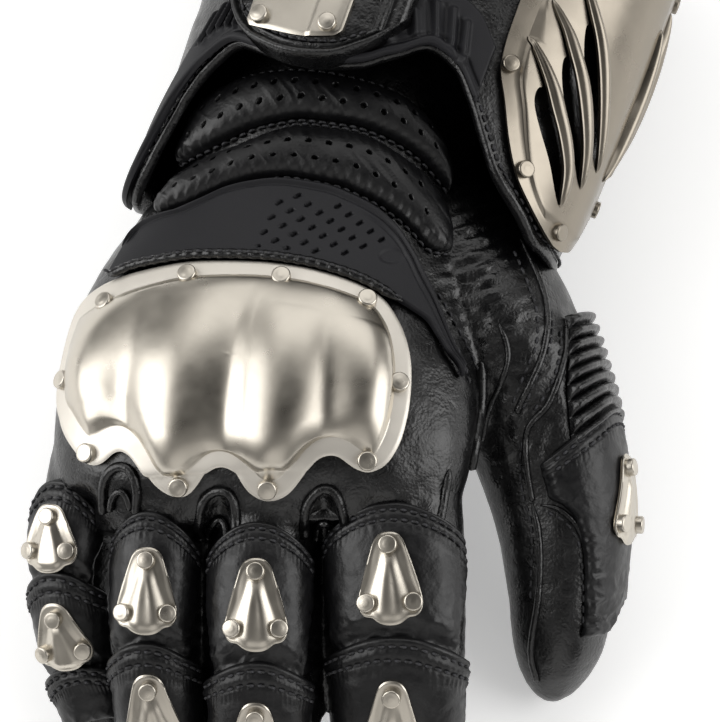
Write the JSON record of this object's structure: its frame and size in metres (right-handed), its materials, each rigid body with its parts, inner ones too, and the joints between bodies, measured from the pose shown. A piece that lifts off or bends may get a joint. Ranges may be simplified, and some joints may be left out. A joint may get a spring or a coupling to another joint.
{
  "type": "motorcycle glove",
  "caption": "Right-hand black leather motorcycle gauntlet with a stamped steel knuckle guard, riveted steel finger plates, a rubber yoke, padded wrist rolls and a louvred steel cuff plate.",
  "frame": {"origin": "middle of the flat under the heel of the palm, where the glove rests on a table", "axes": "+Y from the fingertips to the cuff, +Z out of the back of the hand, +X towards the thumb side"},
  "size_m": [0.1775, 0.2983, 0.086],
  "materials": {
    "black_leather": "semi-gloss full-grain",
    "padded_leather": "semi-gloss, padded and stitched",
    "dark_rubber": "matte moulded",
    "satin_steel": "satin stamped stainless"
  },
  "bodies": {
    "root": {"palm_shell": "black_leather", "cuff_shell": "black_leather", "index_finger_shell": "black_leather", "middle_finger_shell": "black_leather", "ring_finger_shell": "black_leather", "little_finger_shell": "black_leather", "thumb_shell": "black_leather", "index_back_panel_1": "padded_leather", "index_back_panel_2": "padded_leather", "middle_back_panel_1": "padded_leather", "middle_back_panel_2": "padded_leather", "ring_back_panel_1": "padded_leather", "ring_back_panel_2": "padded_leather", "little_back_panel_1": "padded_leather", "little_back_panel_2": "padded_leather", "little_back_panel_3": "padded_leather", "thumb_back_panel": "padded_leather", "thumb_stretch_ribs": "padded_leather", "upper_wrist_roll": "padded_leather", "lower_wrist_roll": "padded_leather", "index_armour_plate_1": "satin_steel", "index_armour_plate_2": "satin_steel", "middle_armour_plate_1": "satin_steel", "middle_armour_plate_2": "satin_steel", "ring_armour_plate_1": "satin_steel", "ring_armour_plate_2": "satin_steel", "little_armour_plate_1": "satin_steel", "little_armour_plate_2": "satin_steel", "thumb_armour_plate": "satin_steel", "knuckle_guard": "satin_steel", "wrist_plate": "satin_steel", "cuff_plate": "satin_steel", "knuckle_yoke": "dark_rubber", "cuff_frame": "dark_rubber", "wrist_pad": "dark_rubber"}
  },
  "joints": []
}
